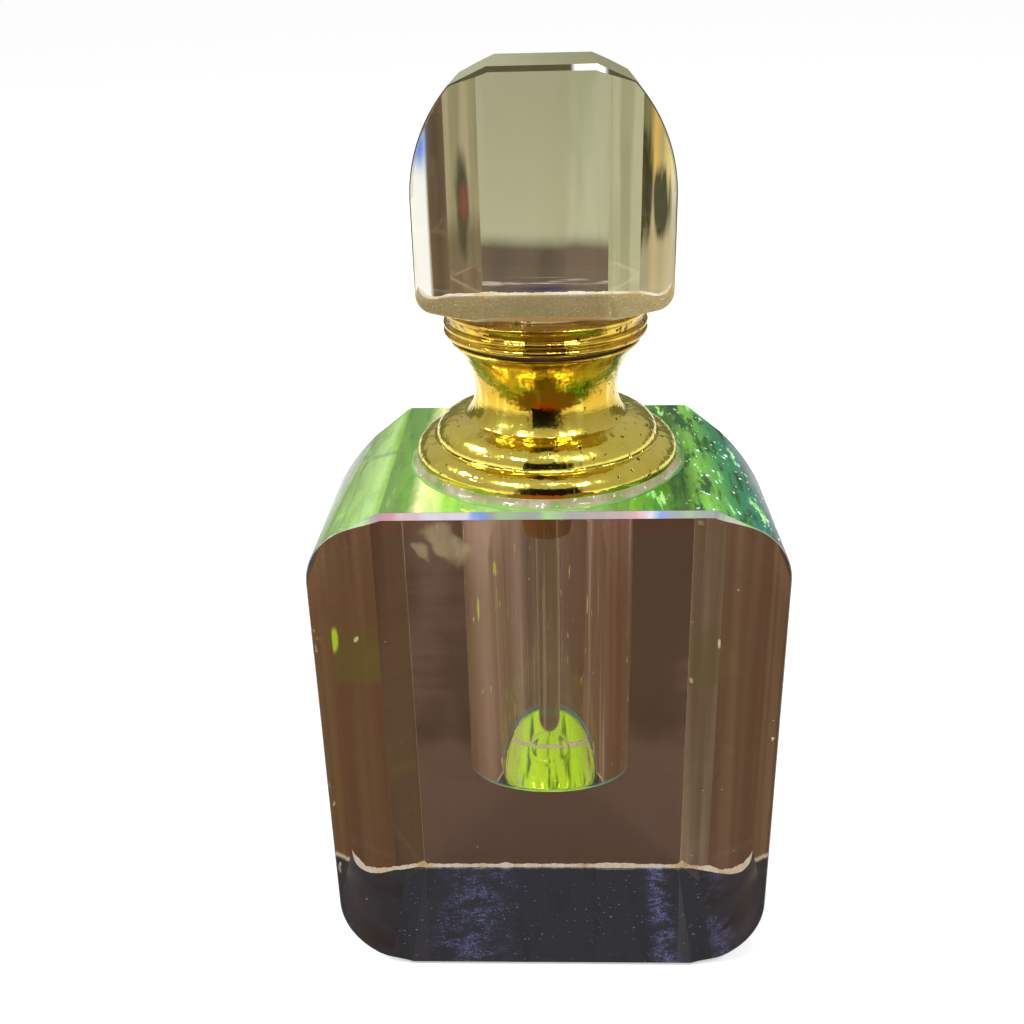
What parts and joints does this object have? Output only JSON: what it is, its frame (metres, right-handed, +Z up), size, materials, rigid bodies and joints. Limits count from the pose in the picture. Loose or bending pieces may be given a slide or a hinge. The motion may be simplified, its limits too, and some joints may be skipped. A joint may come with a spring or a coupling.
{
  "type": "cut crystal scent bottle with dipper stopper",
  "caption": "Cut crystal scent bottle with a bored block body, a stepped gold neck and a screwed crystal stopper that carries a glass dipper rod.",
  "frame": {"origin": "middle of the body's underside", "axes": "+Z up along the neck's axis, -Y towards the flat front, +X to the right seen from the front"},
  "size_m": [0.05, 0.032, 0.1019],
  "materials": {
    "crystal": "cut and polished",
    "rod_glass": "fire polished",
    "gold_plate": "polished gold plate",
    "clear_cement": "cured clear glue",
    "soft_plastic": "moulded polyethylene",
    "washer_rubber": "matt"
  },
  "bodies": {
    "bottle": {"crystal_body": "crystal", "collar_cement": "clear_cement", "neck_collar": "gold_plate", "neck_insert": "soft_plastic"},
    "washer": {"sealing_washer": "washer_rubber"},
    "stopper": {"crystal_stopper": "crystal", "stopper_cement": "clear_cement", "cap_ring": "gold_plate", "rod_plug": "soft_plastic", "dipper_rod": "rod_glass"}
  },
  "joints": [
    {"name": "stopper_lift", "type": "slide", "parent": "bottle", "child": "washer", "axis": [0, 0, 1], "range_m": [0, 0.055]},
    {"name": "stopper_turn", "type": "hinge", "parent": "washer", "child": "stopper", "pos_m": [0, 0, 0.0743], "axis": [0, 0, 1], "range_deg": [0, 540]}
  ]
}
